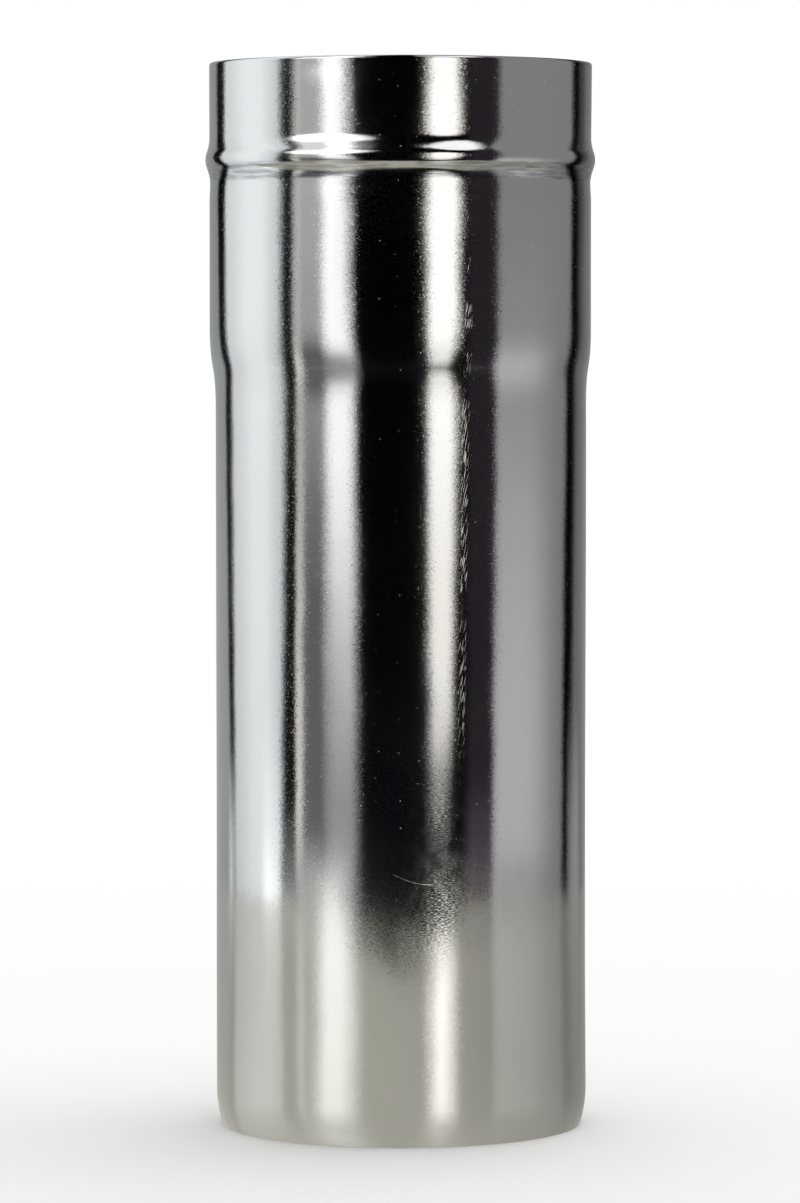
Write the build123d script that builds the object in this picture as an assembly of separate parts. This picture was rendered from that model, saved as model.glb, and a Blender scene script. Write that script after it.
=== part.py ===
from build123d import *
import math
import os

# A straight length of single-wall stove pipe, rolled from thin stainless sheet.
# The foot is a plain pipe, drawn in a little at its rim so that it starts easily in the next socket.
# The head is widened into a socket for a pipe of the same size: a smooth shoulder, a round bead
# and a mouth whose edge is turned slightly inwards.
# Sizes are in millimetres. The pipe stands on its foot at Z 0, with its axis on Z and its mouth up.

# Sheet and overall size
pipe_diameter = 115.0  # outside of the plain pipe
sheet_thickness = 0.5
overall_length = 330.0

# Foot, drawn in on one long arc
foot_taper_length = 11.5
foot_taper_depth = 1.8  # how far the outside comes in at the rim, measured on the radius

# Socket for a pipe of the same size
socket_play = 1.2  # radial room between that pipe and the socket
socket_depth = 82.2  # from the mouth down to the shoulder
shoulder_length = 23.0

# Round bead that stiffens the socket
bead_below_mouth = 29.9  # from the mouth down to the crest
bead_height = 1.3
bead_width = 14.0  # from foot to foot
bead_crest_radius = 7.0

# Mouth edge, turned inwards
mouth_bend_radius = 1.0  # of the outer face
mouth_bend_angle = 55.0

# Sizes that follow from those above
pipe_radius = pipe_diameter / 2
socket_radius = pipe_radius + socket_play + sheet_thickness
mouth_bend_rise = mouth_bend_radius * math.sin(math.radians(mouth_bend_angle))
shoulder_top = overall_length - socket_depth
shoulder_foot = shoulder_top - shoulder_length
bead_middle = overall_length - bead_below_mouth
bead_foot = bead_middle - bead_width / 2
bead_head = bead_middle + bead_width / 2
mouth_bend_foot = overall_length - mouth_bend_rise


def ease(rise, run):
    """A rise on two arcs that meet tangentially over a run: their angle, and their radii added up."""
    angle = 2 * math.atan2(rise, run)
    return math.degrees(angle), run / math.sin(angle)


def wall_path():
    """The outer face above the foot taper, from bottom to top, as straights and bends.

    A straight is a length with no angle. A bend is a radius and an angle: positive turns
    towards the axis, negative turns away from it."""
    shoulder_angle, shoulder_radii = ease(socket_radius - pipe_radius, shoulder_length)
    bead_angle, bead_radii = ease(bead_height, bead_width / 2)
    bead_foot_radius = bead_radii - bead_crest_radius
    return [
        (shoulder_foot - foot_taper_length, 0),
        (shoulder_radii / 2, -shoulder_angle),
        (shoulder_radii / 2, shoulder_angle),
        (bead_foot - shoulder_top, 0),
        (bead_foot_radius, -bead_angle),
        (bead_crest_radius, 2 * bead_angle),
        (bead_foot_radius, -bead_angle),
        (mouth_bend_foot - bead_head, 0),
        (mouth_bend_radius, mouth_bend_angle),
    ]


def foot_taper(depth):
    """The arc that draws the foot in, from its flat rim up, at a depth under the outer face."""
    outer_radius = (foot_taper_length**2 + foot_taper_depth**2) / (2 * foot_taper_depth)
    radius = outer_radius - depth
    angle = math.degrees(math.asin(foot_taper_length / radius))
    return CenterArc((pipe_radius - outer_radius, foot_taper_length), radius, -angle, angle)


def wall_face(depth):
    """One face of the sheet from foot rim to mouth edge, at a depth under the outer face."""
    edges = [foot_taper(depth)]
    for size, angle in wall_path():
        start = edges[-1] @ 1
        heading = edges[-1] % 1
        if angle:
            radius = size - math.copysign(depth, angle)
            edges.append(JernArc(start, heading, radius, angle))
        else:
            edges.append(Line(start, start + heading * size))
    return edges


def make_pipe():
    """The sheet's section between its outer and inner face, turned round the axis."""
    outer = wall_face(0)
    inner = wall_face(sheet_thickness)
    foot_rim = Line(outer[0] @ 0, inner[0] @ 0)
    mouth_edge = Line(outer[-1] @ 1, inner[-1] @ 1)
    section = make_face([*outer, *inner, foot_rim, mouth_edge])
    return revolve(Plane.XZ * section, axis=Axis.Z, revolution_arc=360)


os.makedirs("parts", exist_ok=True)
pipe = make_pipe()
pipe.label = "pipe"
export_step(pipe, "parts/pipe.step")
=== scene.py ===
import math
from typing import NamedTuple

import bpy
import numpy as np
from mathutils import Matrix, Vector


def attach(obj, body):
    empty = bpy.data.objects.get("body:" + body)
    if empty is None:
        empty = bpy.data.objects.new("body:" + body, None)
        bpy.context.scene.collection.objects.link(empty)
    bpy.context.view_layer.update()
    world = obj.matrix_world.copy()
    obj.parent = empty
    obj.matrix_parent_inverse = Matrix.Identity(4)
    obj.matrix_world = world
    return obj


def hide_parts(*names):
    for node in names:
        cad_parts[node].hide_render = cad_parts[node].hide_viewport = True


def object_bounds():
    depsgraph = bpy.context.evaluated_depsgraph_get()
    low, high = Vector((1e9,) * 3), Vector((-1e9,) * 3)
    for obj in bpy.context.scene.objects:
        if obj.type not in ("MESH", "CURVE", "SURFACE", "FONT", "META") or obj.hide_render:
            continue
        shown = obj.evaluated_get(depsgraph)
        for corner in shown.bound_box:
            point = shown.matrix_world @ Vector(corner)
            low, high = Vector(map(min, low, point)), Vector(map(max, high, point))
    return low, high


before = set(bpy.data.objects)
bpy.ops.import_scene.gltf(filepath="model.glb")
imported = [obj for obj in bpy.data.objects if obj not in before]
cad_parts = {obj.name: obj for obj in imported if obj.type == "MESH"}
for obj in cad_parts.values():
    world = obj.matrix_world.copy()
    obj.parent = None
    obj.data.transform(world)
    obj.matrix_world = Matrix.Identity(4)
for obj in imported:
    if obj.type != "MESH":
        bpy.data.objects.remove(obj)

# A straight length of single-wall stove pipe in bright stainless sheet, standing on its foot.
# All sizes are in metres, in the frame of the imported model: the axis is Z, the foot rim is at Z 0,
# and the side that the camera sees is towards -Y.

MM = 0.001
cad_low, cad_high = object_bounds()

# The sheet's outline, as the pipe is made
pipe_radius = 57.5 * MM
sheet_thickness = 0.5 * MM
foot_taper_length = 11.5 * MM
foot_taper_depth = 1.8 * MM
socket_play = 1.2 * MM
socket_depth = 82.2 * MM
shoulder_length = 23.0 * MM
bead_below_mouth = 29.9 * MM
bead_width = 14.0 * MM
bead_crest_radius = 7.0 * MM
mouth_bend_radius = 1.0 * MM
mouth_bend_angle = math.radians(55.0)
cut_edge_round = 0.1 * MM

# Sizes that follow from those and from the frame
overall_length = cad_high.z
crest_radius = min(-cad_low.x, -cad_low.y, cad_high.x, cad_high.y)
socket_radius = pipe_radius + socket_play + sheet_thickness
bead_height = crest_radius - socket_radius
shoulder_top = overall_length - socket_depth
shoulder_foot = shoulder_top - shoulder_length
bead_middle = overall_length - bead_below_mouth
bead_foot = bead_middle - bead_width / 2
bead_head = bead_middle + bead_width / 2
mouth_bend_foot = overall_length - mouth_bend_radius * math.sin(mouth_bend_angle)

# How finely the sheet is divided
steps_around = 344
straight_step = 3.5 * MM
least_steps = 20
bend_step = math.radians(2.2)


def ease(rise, run):
    """A rise on two arcs that meet tangentially over a run: their angle, and their radii added up."""
    angle = 2 * math.atan2(rise, run)
    return angle, run / math.sin(angle)


def wall_path():
    """The outer face above the foot taper as straights (length, no angle) and bends (radius, angle).

    A positive angle turns towards the axis and a negative one away from it."""
    shoulder_angle, shoulder_radii = ease(socket_radius - pipe_radius, shoulder_length)
    bead_angle, bead_radii = ease(bead_height, bead_width / 2)
    return [
        (shoulder_foot - foot_taper_length, 0.0),
        (shoulder_radii / 2, -shoulder_angle),
        (shoulder_radii / 2, shoulder_angle),
        (bead_foot - shoulder_top, 0.0),
        (bead_radii - bead_crest_radius, -bead_angle),
        (bead_crest_radius, 2 * bead_angle),
        (bead_radii - bead_crest_radius, -bead_angle),
        (mouth_bend_foot - bead_head, 0.0),
        (mouth_bend_radius, mouth_bend_angle),
    ]


def arc_points(middle, radius, first, last, coarse):
    """Points (distance from the axis, height) on a circle, from one angle to another."""
    count = max(2, math.ceil(abs(last - first) / (bend_step * coarse)) + 1)
    angle = np.linspace(first, last, count)
    return np.stack([middle[0] + radius * np.cos(angle), middle[1] + radius * np.sin(angle)], 1)


def wall_face(depth, coarse=1.0):
    """One face of the sheet, from foot rim to mouth edge, at a depth under the outer face.

    The foot is an arc that ends upright. Each later stretch starts where the last one ended and
    keeps its heading: a straight runs on, and a bend turns about a point square to the heading."""
    outer = (foot_taper_length**2 + foot_taper_depth**2) / (2 * foot_taper_depth)
    radius = outer - depth
    middle = (pipe_radius - outer, foot_taper_length)
    runs = [arc_points(middle, radius, -math.asin(foot_taper_length / radius), 0.0, coarse)]
    heading = math.pi / 2
    for size, turn in wall_path():
        start = runs[-1][-1]
        if turn == 0.0:
            count = math.ceil(max(size / straight_step, least_steps) / coarse)
            along = np.linspace(0.0, size, count + 1)[1:, None]
            runs.append(start + along * np.array([math.cos(heading), math.sin(heading)]))
            continue
        side = math.copysign(1.0, turn)
        radius = size - side * depth
        square = heading + side * math.pi / 2
        middle = start + radius * np.array([math.cos(square), math.sin(square)])
        first = square + math.pi
        runs.append(arc_points(middle, radius, first, first + turn, coarse)[1:])
        heading += turn
    return np.concatenate(runs)


def rounded_corner(before, corner, after):
    """A cut edge with its sharpness taken off: a quadratic curve tangent to both sides."""
    share = np.linspace(0.0, 1.0, 5)[:, None]
    start = corner + (before - corner) * cut_edge_round / np.linalg.norm(before - corner)
    end = corner + (after - corner) * cut_edge_round / np.linalg.norm(after - corner)
    return start * (1 - share) ** 2 + corner * 2 * share * (1 - share) + end * share**2


def sheet_section():
    """The closed section of the sheet: outer face up, mouth edge, inner face down, foot rim."""
    outer = wall_face(0.0)
    inner = wall_face(sheet_thickness, coarse=2.4)[::-1]
    return np.concatenate([
        rounded_corner(inner[-1], outer[0], outer[1]),
        outer[1:-1],
        rounded_corner(outer[-2], outer[-1], inner[0]),
        rounded_corner(outer[-1], inner[0], inner[1]),
        inner[1:-1],
        rounded_corner(inner[-2], inner[-1], outer[0]),
    ])


def bell(value, middle, reach):
    """A bell curve: 1 at its middle, and a third of that at its reach."""
    return np.exp(-(((value - middle) / reach) ** 2))


def unevenness(turn, height):
    """How far the formed sheet stands out from its true radius: a few hundredths of a millimetre.

    A sum of long waves from the rolls, each running round the pipe and up it at its own pace, which
    dies out at both rims and at the bead's crest; bell-shaped marks of the forming, namely a groove
    under the bead, deeper on the right, a dip below the mouth edge in front, a flared collar, a body
    that stands out a little above its middle, and a foot that is sprung out on the right. The head
    sits a little to the left of the body. The shoulder is steeper in its middle by a slope times the
    way from there, faded by a bell."""
    waves = (
        np.cos(3 * turn + 19 * height + 0.4)
        + 0.7 * np.cos(5 * turn - 31 * height + 2.1)
        + 0.5 * np.cos(8 * turn + 47 * height + 4.0)
        + 0.4 * np.cos(2 * turn - 73 * height + 1.2)
    )
    calm = np.clip(np.minimum(height, np.abs(height - bead_middle)) / (20 * MM), 0.0, 1.0)
    rolled = 0.02 * waves * calm**2 * (3 - 2 * calm)
    depth = 0.235 + 0.035 * np.sin(turn) + 0.03 * np.cos(5 * turn + 1.0) + 0.02 * np.cos(11 * turn + 2.0)
    groove = -depth * bell(height, bead_foot - 0.5 * MM, 3.0 * MM)
    dip = -0.13 * np.clip(np.cos(turn), 0.0, 1.0) * bell(height, overall_length - 1.5 * MM, 5.5 * MM)
    collar = np.clip((height - bead_head) / (overall_length - bead_head), 0.0, 1.0)
    flare = 0.12 * (1 + 0.5 * np.sin(turn)) * collar
    fuller = 0.09 * (1 + np.sin(turn)) * bell(height, 195 * MM, 55 * MM)
    sprung = 0.35 * bell(turn, 1.6, 0.8) * bell(height, 8 * MM, 32 * MM)
    head = np.clip((height - shoulder_foot) / shoulder_length, 0.0, 1.0)
    offset = -0.15 * np.sin(turn) * head
    past_middle = (height - (shoulder_foot + shoulder_top) / 2) / MM
    steep = 0.033 * past_middle * bell(past_middle, 0.0, 4.5)
    return (rolled + groove + dip + flare + fuller + sprung + offset + steep) * MM


def closed_grid(name, points, sheet_places):
    """A mesh from a grid of points that closes on itself both ways, with a UV map per face corner."""
    rows, around = points.shape[:2]
    index = np.arange(rows * around).reshape(rows, around)
    upper = np.roll(index, -1, 0)
    quads = np.stack([index, np.roll(index, -1, 1), np.roll(upper, -1, 1), upper], -1).reshape(-1, 4)
    mesh = bpy.data.meshes.new(name)
    mesh.from_pydata(points.reshape(-1, 3), [], quads)
    mesh.shade_smooth()
    layer = mesh.uv_layers.new(name="flat_sheet")
    layer.data.foreach_set("uv", sheet_places.astype(np.float32).ravel())
    mesh.update()
    piece = bpy.data.objects.new(name, mesh)
    bpy.context.scene.collection.objects.link(piece)
    return piece


def make_pipe():
    """The section carried round the axis. A point at turn t and section place (r, z) lies at
    (r sin t, -r cos t, z), with the unevenness added along the radius.

    The UV map is the flat sheet: metres round from the front line, and metres up."""
    section = sheet_section()
    turn = np.linspace(-math.pi, math.pi, steps_around, endpoint=False)
    radius, height = section[:, :1], section[:, 1:]
    reach = radius + unevenness(turn[None], height)
    level = np.broadcast_to(height, reach.shape)
    points = np.stack([reach * np.sin(turn), -reach * np.cos(turn), level], -1)
    next_turn = turn + 2 * math.pi / steps_around
    along = np.stack([turn, next_turn, next_turn, turn], -1) * pipe_radius
    upper = np.roll(height[:, 0], -1)
    up = np.stack([height[:, 0], height[:, 0], upper, upper], -1)
    places = np.stack(np.broadcast_arrays(along[None], up[:, None]), -1)
    return closed_grid("pipe_sheet", points, places)


class Nodes:
    """A short way to write a node tree: each call adds one node and joins its inputs."""

    def __init__(self, tree):
        self.tree = tree
        tree.nodes.clear()

    def add(self, kind, inputs=None, **settings):
        node = self.tree.nodes.new(kind)
        for key, value in settings.items():
            setattr(node, key, value)
        for key, value in (inputs or {}).items():
            if isinstance(value, bpy.types.NodeSocket):
                self.tree.links.new(value, node.inputs[key])
            else:
                node.inputs[key].default_value = value
        return node

    def math(self, operation, *values, clamp=False):
        node = self.add("ShaderNodeMath", dict(enumerate(values)), operation=operation, use_clamp=clamp)
        return node.outputs[0]

    def line(self, value, low, high, to_low=0.0, to_high=1.0, course="LINEAR"):
        """A straight change from one value to another between two limits, and level outside them."""
        limits = {"Value": value, "From Min": low, "From Max": high, "To Min": to_low, "To Max": to_high}
        return self.add("ShaderNodeMapRange", limits, interpolation_type=course).outputs[0]

    def step(self, value, low, high, to_low=0.0, to_high=1.0):
        """The same with an eased start and end."""
        return self.line(value, low, high, to_low, to_high, "SMOOTHSTEP")

    def blend(self, share, first, second):
        """A colour between two, by the second one's share."""
        return self.add("ShaderNodeMix", {0: share, 6: first, 7: second}, data_type="RGBA").outputs[2]


def new_material(name):
    material = bpy.data.materials.new(name)
    material.use_nodes = True
    return material, Nodes(material.node_tree)


# The finish of the sheet. Sizes on it are metres along the flat sheet, and tilts are radians
steel_colour = (0.565, 0.565, 0.562, 1.0)
steel_dark = (0.53, 0.53, 0.53, 1.0)
weld_colour = (0.46, 0.42, 0.36, 1.0)
# Painted shade: the colour of the dark streaks painted in the corner under the bead
grime_colour = (0.26, 0.26, 0.27, 1.0)
dust_colour = (0.70, 0.74, 0.82, 1.0)
steel_roughness = 0.082
facet_size = 0.25 * MM
facet_tilt = 0.05
dust_spacing = 6.0 * MM
seam_half_width = 0.5 * MM


class Sheet(Nodes):
    """Nodes that know a point's place on the flat sheet: how far across from the front, and how far up."""

    def __init__(self, tree):
        super().__init__(tree)
        self.place = self.add("ShaderNodeUVMap", uv_map="flat_sheet").outputs[0]
        self.across, self.up, _ = self.add("ShaderNodeSeparateXYZ", {0: self.place}).outputs

    def total(self, *values):
        result = values[0]
        for value in values[1:]:
            result = self.math("ADD", result, value)
        return result

    def product(self, *values):
        result = values[0]
        for value in values[1:]:
            result = self.math("MULTIPLY", result, value)
        return result

    def within(self, value, low, high, soft):
        """1 between two limits and 0 outside them, with soft edges."""
        return self.product(self.step(value, low - soft, low + soft),
                            self.step(value, high - soft, high + soft, 1.0, 0.0))

    def patches(self, width, height, lean=0.0, start=0.0, detail=0.0):
        """Cloudy noise, level and coloured, in patches of one width and height that may lean right."""
        along = self.math("SUBTRACT", self.across, self.math("MULTIPLY", self.up, lean))
        place = self.add("ShaderNodeCombineXYZ", {
            0: self.math("MULTIPLY_ADD", along, 1 / width, start),
            1: self.math("DIVIDE", self.up, height)}).outputs[0]
        noise = self.add("ShaderNodeTexNoise", {"Vector": place, "Scale": 1.0, "Detail": detail},
                         noise_dimensions="2D")
        return noise.outputs[0], noise.outputs[1]

    def tilts(self, colour, most):
        """Two tilts, across and up, from a random colour: up to so much each way."""
        red, green, _ = self.add("ShaderNodeSeparateColor", {0: colour}).outputs
        return [self.line(part, 0.0, 1.0, -most, most) for part in (red, green)]


def fine_facets(sheet):
    """Pits of the pickled sheet: each cell is its own small mirror, most of them hardly tilted."""
    cells = sheet.add("ShaderNodeTexVoronoi", {"Vector": sheet.place, "Scale": 1 / facet_size},
                      voronoi_dimensions="2D").outputs["Color"]
    odd = sheet.add("ShaderNodeSeparateColor", {0: cells}).outputs[2]
    most = sheet.math("POWER", odd, 4.0)
    across, up = sheet.tilts(cells, facet_tilt)
    return [sheet.product(across, most), sheet.product(up, most, 0.25)]


def rolling_marks(sheet):
    """Long faint ribs up the pipe and a shallow peel between them, as bending rolls leave them."""
    ribs = sheet.line(sheet.patches(4.5 * MM, 120 * MM, start=3.7)[0], 0.0, 1.0, -0.010, 0.010)
    peel = sheet.tilts(sheet.patches(10 * MM, 16 * MM, start=9.1)[1], 0.006)
    return [sheet.total(ribs, peel[0]), peel[1]]


def slanted_scratches(sheet):
    """Short strokes beside the front's right, in a row that runs up the body and leans a little."""
    row = sheet.line(sheet.up, 106 * MM, 256 * MM, 18.3 * MM, 20.3 * MM)
    aside = sheet.math("SUBTRACT", sheet.across, row)
    strokes = sheet.step(sheet.patches(0.17 * MM, 4.5 * MM, lean=0.18)[0], 0.64, 0.72)
    clusters = sheet.step(sheet.patches(60 * MM, 11 * MM, start=5.3)[0], 0.34, 0.48)
    reach = sheet.within(sheet.up, 122 * MM, 278 * MM, 12 * MM)
    return sheet.product(strokes, clusters, reach, sheet.within(aside, -1.0 * MM, 1.3 * MM, 0.5 * MM))


def hairlines(sheet):
    """Fine level lines round the lower front, where the pipe has turned in another's socket."""
    lines = sheet.line(sheet.patches(1.1 * MM, 0.22 * MM, start=1.9)[0], 0.25, 0.75, -1.0, 1.0)
    zone = sheet.within(sheet.up, 62 * MM, 112 * MM, 14 * MM)
    front = sheet.within(sheet.across, -14 * MM, 20 * MM, 6 * MM)
    rubbed = sheet.within(sheet.across, 5 * MM, 17 * MM, 4 * MM)
    tilt = sheet.total(sheet.product(front, 0.004), sheet.product(rubbed, 0.009))
    return sheet.product(lines, zone, tilt)


def curved_scratch(sheet):
    """One bowed scratch low in front: a parabola, lowest at its right end."""
    from_low = sheet.math("SUBTRACT", sheet.across, 9.8 * MM)
    bow = sheet.product(from_low, from_low, 1 / (45 * MM))
    off = sheet.math("ABSOLUTE", sheet.math("SUBTRACT", sheet.math("SUBTRACT", sheet.up, 80.2 * MM), bow))
    line = sheet.step(off, 0.08 * MM, 0.24 * MM, 1.0, 0.0)
    return sheet.product(line, sheet.within(sheet.across, -2.6 * MM, 9.6 * MM, 0.8 * MM))


def dust_specks(sheet):
    """Grains of dust, about one to a square of the dust spacing, some squares bare."""
    cells = sheet.add("ShaderNodeTexVoronoi", {"Vector": sheet.place, "Scale": 1 / dust_spacing},
                      voronoi_dimensions="2D").outputs
    kind = sheet.add("ShaderNodeSeparateColor", {0: cells["Color"]}).outputs[0]
    size = sheet.line(kind, 0.45, 1.0, 0.0, 0.022)
    return sheet.step(sheet.math("SUBTRACT", cells["Distance"], size), -0.008, 0.004, 1.0, 0.0)


def grime_line(sheet):
    """Painted shade: dark streaks in the corner under the bead, broken up, with a clean gap in front."""
    streaks = sheet.line(sheet.patches(9 * MM, 0.9 * MM, start=6.1, detail=2.0)[0], 0.38, 0.60, 0.15, 0.75)
    corner = sheet.within(sheet.up, 293.4 * MM, 298.6 * MM, 0.5 * MM)
    gap = sheet.within(sheet.across, -3.6 * MM, 4.6 * MM, 1.4 * MM)
    return sheet.product(streaks, corner, sheet.math("SUBTRACT", 1.0, gap))


def weld_seam(sheet):
    """The welded seam at the back, where the sheet's two edges meet."""
    from_front = sheet.math("ABSOLUTE", sheet.across)
    edge = math.pi * pipe_radius - seam_half_width
    return sheet.step(from_front, edge - 0.3 * MM, edge)


def stainless_sheet():
    """Bright rolled stainless: almost a mirror, broken by facets, scratches, hairlines and dust."""
    material = bpy.data.materials.new("stainless_sheet")
    material.use_nodes = True
    sheet = Sheet(material.node_tree)
    facets, marks = fine_facets(sheet), rolling_marks(sheet)
    strokes, lines, bow = slanted_scratches(sheet), hairlines(sheet), curved_scratch(sheet)
    dust, seam, grime = dust_specks(sheet), weld_seam(sheet), grime_line(sheet)

    ripples = sheet.math("SINE", sheet.math("MULTIPLY", sheet.up, 2 * math.pi / (1.1 * MM)))
    tilt_across = sheet.total(facets[0], marks[0], sheet.product(strokes, -0.09))
    tilt_up = sheet.total(facets[1], marks[1], lines, sheet.product(bow, -0.025),
                          sheet.product(seam, ripples, 0.12))
    facing = sheet.add("ShaderNodeNewGeometry").outputs["Normal"]
    round_it = sheet.add("ShaderNodeVectorMath", {0: (0.0, 0.0, 1.0), 1: facing}, operation="CROSS_PRODUCT")
    turned = sheet.add("ShaderNodeVectorMath", {0: round_it.outputs[0], "Scale": tilt_across},
                       operation="SCALE")
    raised = sheet.add("ShaderNodeCombineXYZ", {2: tilt_up})
    both = sheet.add("ShaderNodeVectorMath", {0: turned.outputs[0], 1: raised.outputs[0]}, operation="ADD")
    leaning = sheet.add("ShaderNodeVectorMath", {0: facing, 1: both.outputs[0]}, operation="ADD")
    normal = sheet.add("ShaderNodeVectorMath", {0: leaning.outputs[0]}, operation="NORMALIZE").outputs[0]

    clouds = sheet.patches(26 * MM, 40 * MM, start=2.2, detail=3.0)[0]
    haze = sheet.line(clouds, 0.35, 0.70, 0.0, 0.025)
    rubbed = sheet.product(
        sheet.within(sheet.up, 70 * MM, 104 * MM, 9 * MM),
        sheet.within(sheet.across, 2 * MM, 19 * MM, 5 * MM),
        sheet.line(sheet.patches(3 * MM, 5 * MM, start=7.7, detail=2.0)[0], 0.35, 0.65, 0.0, 0.03))
    stains = sheet.product(
        sheet.step(sheet.up, 3 * MM, 13 * MM, 1.0, 0.0),
        sheet.step(sheet.patches(9 * MM, 4 * MM, start=4.4, detail=2.0)[0], 0.50, 0.66))
    roughness = sheet.total(haze, rubbed, sheet.product(stains, 0.16), sheet.product(seam, 0.18),
                            sheet.product(strokes, 0.10), steel_roughness)

    colour = sheet.blend(clouds, steel_dark, steel_colour)
    # Painted shade: dark streaks blended in, in the corner under the bead
    colour = sheet.blend(grime, colour, grime_colour)
    colour = sheet.blend(seam, colour, weld_colour)
    colour = sheet.blend(dust, colour, dust_colour)
    surface = sheet.add("ShaderNodeBsdfPrincipled", {
        "Base Color": colour,
        "Metallic": sheet.math("SUBTRACT", 1.0, dust),
        "Roughness": sheet.math("MAXIMUM", roughness, sheet.product(dust, 0.8)),
        "Normal": normal,
    })
    sheet.add("ShaderNodeOutputMaterial", {"Surface": surface.outputs[0]})
    return material


# The studio: a pale table, white behind it, and a ring of lamps and dark cloth that the pipe mirrors
ring_radius = 0.73
ring_front = 0.565
ring_height = 1.5
mirrored_height = 0.34
level_soft = 0.02


class Band(NamedTuple):
    """One lamp, card or wall of the ring. Angles are degrees round from the front, + to the right."""
    foot: tuple  # its two sides at the table
    head: tuple  # its two sides at the mirrored height
    soft: tuple  # how soft each side is
    glow: tuple  # how bright it is at two heights
    heights: tuple
    colour: tuple = (1.0, 1.0, 1.0)
    bottom: float = -1.0
    top: float = 2.0
    direct: float = 1.0  # its share in the pipe's own mirror image
    in_table: float = 1.0  # and in the image that the satin table passes on
    rounded: float = 0.0  # how high its rounded ends are


cool, warm = (0.96, 1.00, 1.02), (1.03, 1.00, 0.95)
# Painted light: besides the lamps, the ring's cards, walls and cloth also glow by emission, with their lit
# look painted in, as no lamp lights them
ring_bands = {
    "grey_wall_left": Band((-175, -127), (-175, -141), (3, 2.5), (0.46, 0.38), (0.10, 0.30), cool),
    "wall_foot_left": Band((-131, -121), (-131, -121), (3, 3), (0.60, 0.00), (0.02, 0.07), cool),
    "softbox_left": Band((-120.5, -76.5), (-128.5, -73.5), (3, 3.5), (1.00, 1.13), (0.00, 0.34), cool),
    "softbox_foot_left": Band((-90, -78), (-90, -78), (4, 3), (0.34, 0.00), (0.03, 0.09), cool),
    "softbox_core_left": Band((-107, -84), (-112, -84), (11, 7), (0.34, 0.34), (0.00, 0.34), cool),
    "floor_edge_left": Band((-92, -30), (-92, -30), (6, 4), (0.55, 0.55), (0.10, 0.20), top=0.018),
    "door_edge_left": Band((-65.5, -60.5), (-65.5, -60.5), (1.5, 2), (1.00, 0.50), (0.05, 0.28), warm,
                           bottom=0.02),
    "grey_card_left": Band((-62, -42), (-62, -42), (3, 4), (0.18, 0.64), (0.12, 0.30)),
    "strip_left": Band((-43, -25), (-45.5, -31), (5.5, 5), (0.46, 1.74), (0.035, 0.22), in_table=0.0),
    # Painted sheen: glow seen only after a second bounce, as in the satin table, standing in for the left
    # strip's sheen on the table
    "painted_sheen_left": Band((-50, -28.5), (-50, -28.5), (8, 9), (3.20, 2.60), (0.00, 0.20), direct=0.0),
    "head_left": Band((-68, -18), (-68, -18), (5, 5), (1.90, 1.90), (0.40, 0.60), bottom=0.37, top=0.62,
                      rounded=0.12),
    "haze_left": Band((-66, -22), (-66, -22), (8, 8), (0.55, 0.55), (0.60, 0.90), bottom=0.60, top=1.20),
    "black_cloth": Band((-22, 16), (-22, 16), (4, 4), (0.005, 0.001), (0.02, 0.15), (0.9, 0.8, 1.3)),
    "strip_right": Band((17.6, 28.2), (15.0, 34.8), (4, 4), (0.00, 1.50), (0.03, 0.11), warm, top=0.43,
                        in_table=0.0, rounded=0.13),
    "strip_right_upper": Band((15.5, 33.5), (15.5, 33.5), (4, 4), (0.00, 0.45), (0.12, 0.26), top=0.43,
                              rounded=0.13),
    # Painted sheen: glow seen only after a second bounce, as in the satin table, standing in for the right
    # strip's sheen on the table
    "painted_sheen_right": Band((18.3, 31.5), (18.3, 31.5), (5.5, 7), (4.60, 2.95), (0.00, 0.20), warm, direct=0.0),
    "head_right": Band((13, 54), (13, 54), (5, 5), (1.70, 1.70), (0.50, 0.90), bottom=0.575, top=1.50,
                       rounded=0.36),
    "dark_cloth_right": Band((40, 62), (40, 62), (4, 4), (0.10, 0.025), (0.01, 0.06), (1.1, 0.9, 1.15)),
    "grey_card_right": Band((56, 114.5), (59.5, 122.5), (2.5, 3.5), (0.30, 0.34), (0.06, 0.34)),
    "card_light_right": Band((59, 97), (60, 97), (4, 20), (0.42, 0.02), (0.06, 0.32), bottom=0.008),
    "wall_foot_right": Band((124, 142), (124, 142), (3, 3), (0.17, 0.00), (0.03, 0.09)),
    "wall_haze_right": Band((129, 176), (133, 176), (5, 4), (0.09, 0.09), (0.10, 0.34)),
    "grey_wall_right": Band((125, 176), (143, 176), (6, 4), (0.12, 0.09), (0.10, 0.34)),
    "wall_light_right": Band((153, 178), (153, 178), (15, 4), (0.13, 0.10), (0.10, 0.34)),
}


def rounded_ends(nodes, height, band, side):
    """How far a side draws in towards an end: half the width, less its share on a quarter ellipse."""
    low = max(band.bottom, 0.0)
    to_foot = nodes.line(height, low, low + band.rounded, 1.0, 0.0)
    to_top = nodes.line(height, band.top - band.rounded, band.top)
    way = nodes.math("MAXIMUM", to_foot, to_top)
    share = nodes.math("SQRT", nodes.math("MULTIPLY_ADD", way, nodes.math("MULTIPLY", way, -1.0), 1.0))
    half_width = (band.foot[1] - band.foot[0]) / 2 * (1 - 2 * side)
    return nodes.line(share, 0.0, 1.0, half_width, 0.0)


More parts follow.
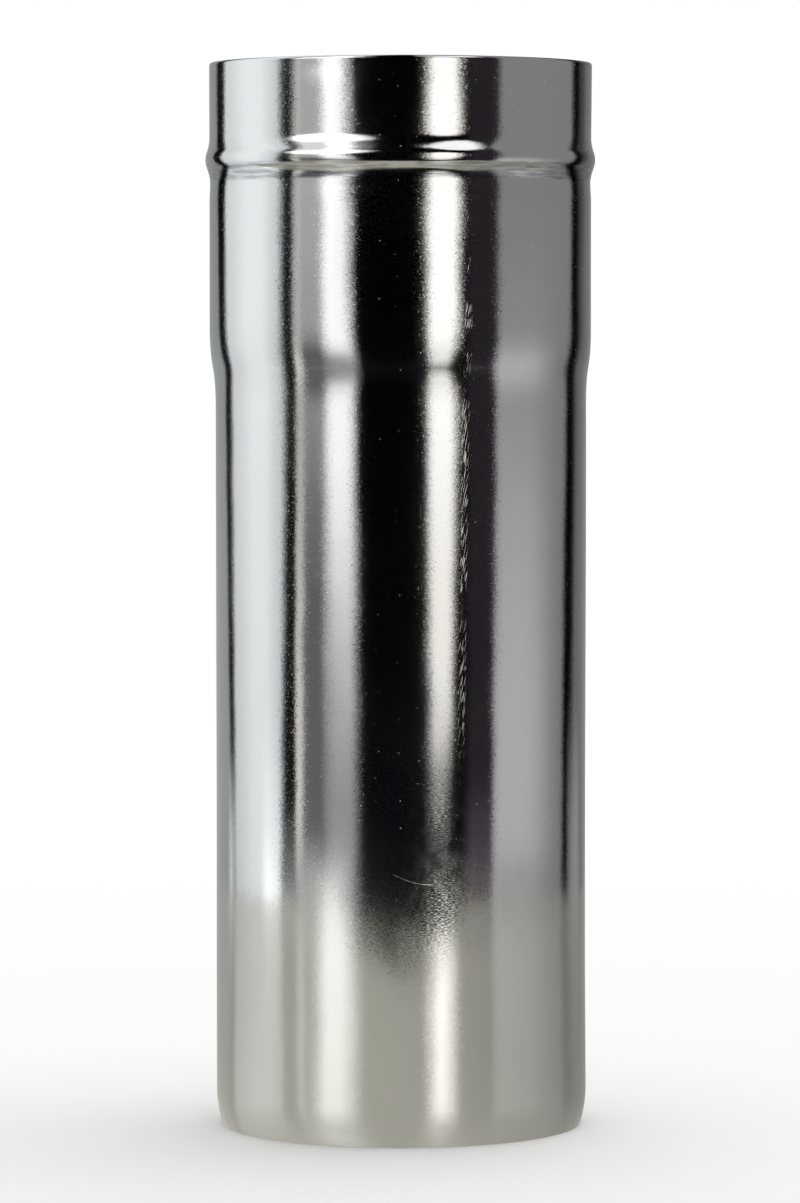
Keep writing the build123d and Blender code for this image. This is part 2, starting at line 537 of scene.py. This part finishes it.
def surround_material():
    """The ring's glow: each band rises and falls smoothly round the ring and up it, and they add up."""
    material, nodes = new_material("surround")
    place = nodes.add("ShaderNodeTexCoord").outputs["Object"]
    axes = nodes.add("ShaderNodeSeparateXYZ", {0: place}).outputs
    backwards = nodes.math("MULTIPLY", axes[1], -1.0)
    azimuth = nodes.math("MULTIPLY", nodes.math("ARCTAN2", axes[0], backwards), 180 / math.pi)
    past_table = nodes.math("GREATER_THAN", nodes.add("ShaderNodeLightPath").outputs["Ray Depth"], 1.5)
    total = None
    for band in ring_bands.values():
        share = nodes.step(axes[2], *band.heights, *band.glow)
        for side in range(2):
            edge = nodes.line(axes[2], 0.0, mirrored_height, band.foot[side], band.head[side])
            if band.rounded:
                edge = nodes.math("ADD", edge, rounded_ends(nodes, axes[2], band, side))
            past = nodes.math("SUBTRACT", azimuth, edge)
            inside = nodes.step(past, -band.soft[side], band.soft[side], side, 1 - side)
            share = nodes.math("MULTIPLY", share, inside)
        if band.bottom > 0.0:
            above = nodes.step(axes[2], band.bottom - level_soft, band.bottom + level_soft)
            share = nodes.math("MULTIPLY", share, above)
        if band.top < ring_height:
            below = nodes.step(axes[2], band.top - level_soft, band.top + level_soft, 1, 0)
            share = nodes.math("MULTIPLY", share, below)
        if band.direct != band.in_table:
            part = nodes.line(past_table, 0.0, 1.0, band.direct, band.in_table)
            share = nodes.math("MULTIPLY", share, part)
        light = nodes.add("ShaderNodeEmission", {"Color": (*band.colour, 1.0), "Strength": share}).outputs[0]
        total = light if total is None else nodes.add("ShaderNodeAddShader", {0: total, 1: light}).outputs[0]
    nodes.add("ShaderNodeOutputMaterial", {"Surface": total})
    material.cycles.emission_sampling = "NONE"
    return material


def make_surround():
    """A round wall of lamps and cloth on the table, flattened along the table's front edge, with a lid.

    It shows in the metal alone. Its distance from the axis is the smaller of the ring's radius and
    the front edge's distance along that heading, and the lid shrinks that to nothing."""
    turn = np.linspace(-math.pi, math.pi, 193)
    distance = np.minimum(ring_radius, ring_front / np.maximum(np.cos(turn), 0.01))
    share = np.array([[1.0], [1.0], [0.0]])
    level = np.array([[0.0], [ring_height], [ring_height]])
    points = np.stack(np.broadcast_arrays(
        share * distance * np.sin(turn), -share * distance * np.cos(turn), level), -1)
    index = np.arange(points.size // 3).reshape(points.shape[:2])
    quads = np.stack([index[:-1, :-1], index[:-1, 1:], index[1:, 1:], index[1:, :-1]], -1).reshape(-1, 4)
    mesh = bpy.data.meshes.new("surround")
    mesh.from_pydata(points.reshape(-1, 3), [], quads)
    mesh.materials.append(surround_material())
    wall = bpy.data.objects.new("surround", mesh)
    bpy.context.scene.collection.objects.link(wall)
    wall.visible_camera = False
    wall.visible_diffuse = False
    wall.visible_shadow = False
    wall.visible_transmission = False


def table_material():
    """A pale matt table top, which the metal mirrors as a satin one that glows in warm grey, with painted
    light palest in front and a little to the left.

    To the eye it turns pure white far out, so that it has no horizon."""
    material, nodes = new_material("table")
    place = nodes.add("ShaderNodeTexCoord").outputs["Object"]
    path = nodes.add("ShaderNodeLightPath").outputs
    distance = nodes.add("ShaderNodeVectorMath", {0: place}, operation="LENGTH").outputs["Value"]
    matt = nodes.add("ShaderNodeBsdfDiffuse", {"Color": (0.94, 0.94, 0.935, 1.0)}).outputs[0]
    white = nodes.add("ShaderNodeEmission", {"Color": (1.0, 1.0, 1.0, 1.0), "Strength": 1.0}).outputs[0]
    far = nodes.step(distance, 0.10, 0.90)
    eye = nodes.add("ShaderNodeMixShader", {0: far, 1: matt, 2: white}).outputs[0]
    # Painted light: to the metal the table glows, brightest towards the front-left and darker towards the
    # back-right, in place of light from the lamps
    heading = nodes.add("ShaderNodeVectorMath", {0: place}, operation="NORMALIZE").outputs[0]
    forwards = nodes.add("ShaderNodeVectorMath", {0: heading, 1: (-0.45, -0.89, 0.0)},
                         operation="DOT_PRODUCT")
    shade = nodes.line(forwards.outputs["Value"], -1.0, 1.0)
    tone = nodes.blend(shade, (0.24, 0.24, 0.225, 1.0), (0.62, 0.605, 0.52, 1.0))
    satin = nodes.add("ShaderNodeBsdfPrincipled", {
        "Base Color": (0.0, 0.0, 0.0, 1.0), "Roughness": 0.3, "IOR": 1.8,
        "Emission Color": tone, "Emission Strength": 1.0}).outputs[0]
    mix = nodes.add("ShaderNodeMixShader", {0: path["Is Glossy Ray"], 1: eye, 2: satin}).outputs[0]
    nodes.add("ShaderNodeOutputMaterial", {"Surface": mix})
    material.cycles.emission_sampling = "NONE"
    return material


def make_table():
    reach = 30.0
    mesh = bpy.data.meshes.new("table")
    mesh.from_pydata([(-reach, -reach, 0), (reach, -reach, 0), (reach, reach, 0), (-reach, reach, 0)], [],
                     [(0, 1, 2, 3)])
    mesh.materials.append(table_material())
    table = bpy.data.objects.new("table", mesh)
    bpy.context.scene.collection.objects.link(table)


def make_world():
    """White behind the object, for the eye and for mirrors, and a soft fill for everything else."""
    world = bpy.data.worlds.new("studio")
    bpy.context.scene.world = world
    world.use_nodes = True
    nodes = Nodes(world.node_tree)
    path = nodes.add("ShaderNodeLightPath").outputs
    seen = nodes.math("MAXIMUM", nodes.math("MAXIMUM", path["Is Camera Ray"], path["Is Glossy Ray"]),
                      path["Is Transmission Ray"])
    strength = nodes.line(seen, 0.0, 1.0, 0.45, 1.0)
    back = nodes.add("ShaderNodeBackground", {"Color": (1.0, 1.0, 1.0, 1.0), "Strength": strength})
    nodes.add("ShaderNodeOutputWorld", {"Surface": back.outputs[0]})


def make_lamp():
    """One very large soft lamp, high and a little behind, which lights the table evenly."""
    light = bpy.data.lights.new("overhead", "SUN")
    light.energy = 2.0
    light.angle = math.radians(80.0)
    lamp = bpy.data.objects.new("overhead", light)
    bpy.context.scene.collection.objects.link(lamp)
    lamp.rotation_euler = (math.radians(-20.0), math.radians(12.0), 0.0)
    lamp.visible_glossy = False


def make_camera():
    """The photograph's eye: fitted to the pipe's silhouette and to both of its rims."""
    camera = bpy.data.cameras.new("camera")
    camera.sensor_width = 36.0
    camera.lens = 163.81
    camera.clip_end = 100.0
    eye = bpy.data.objects.new("camera", camera)
    bpy.context.scene.collection.objects.link(eye)
    eye.location = (-0.00024, -1.7037, 0.2522)
    eye.rotation_euler = (math.radians(90 - 2.997), 0.0, 0.0)
    bpy.context.scene.camera = eye


pipe = make_pipe()
pipe.data.materials.append(stainless_sheet())
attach(pipe, "root")
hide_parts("pipe")

make_table()
make_surround()
make_world()
make_lamp()
make_camera()

bpy.context.scene.view_settings.view_transform = "Standard"
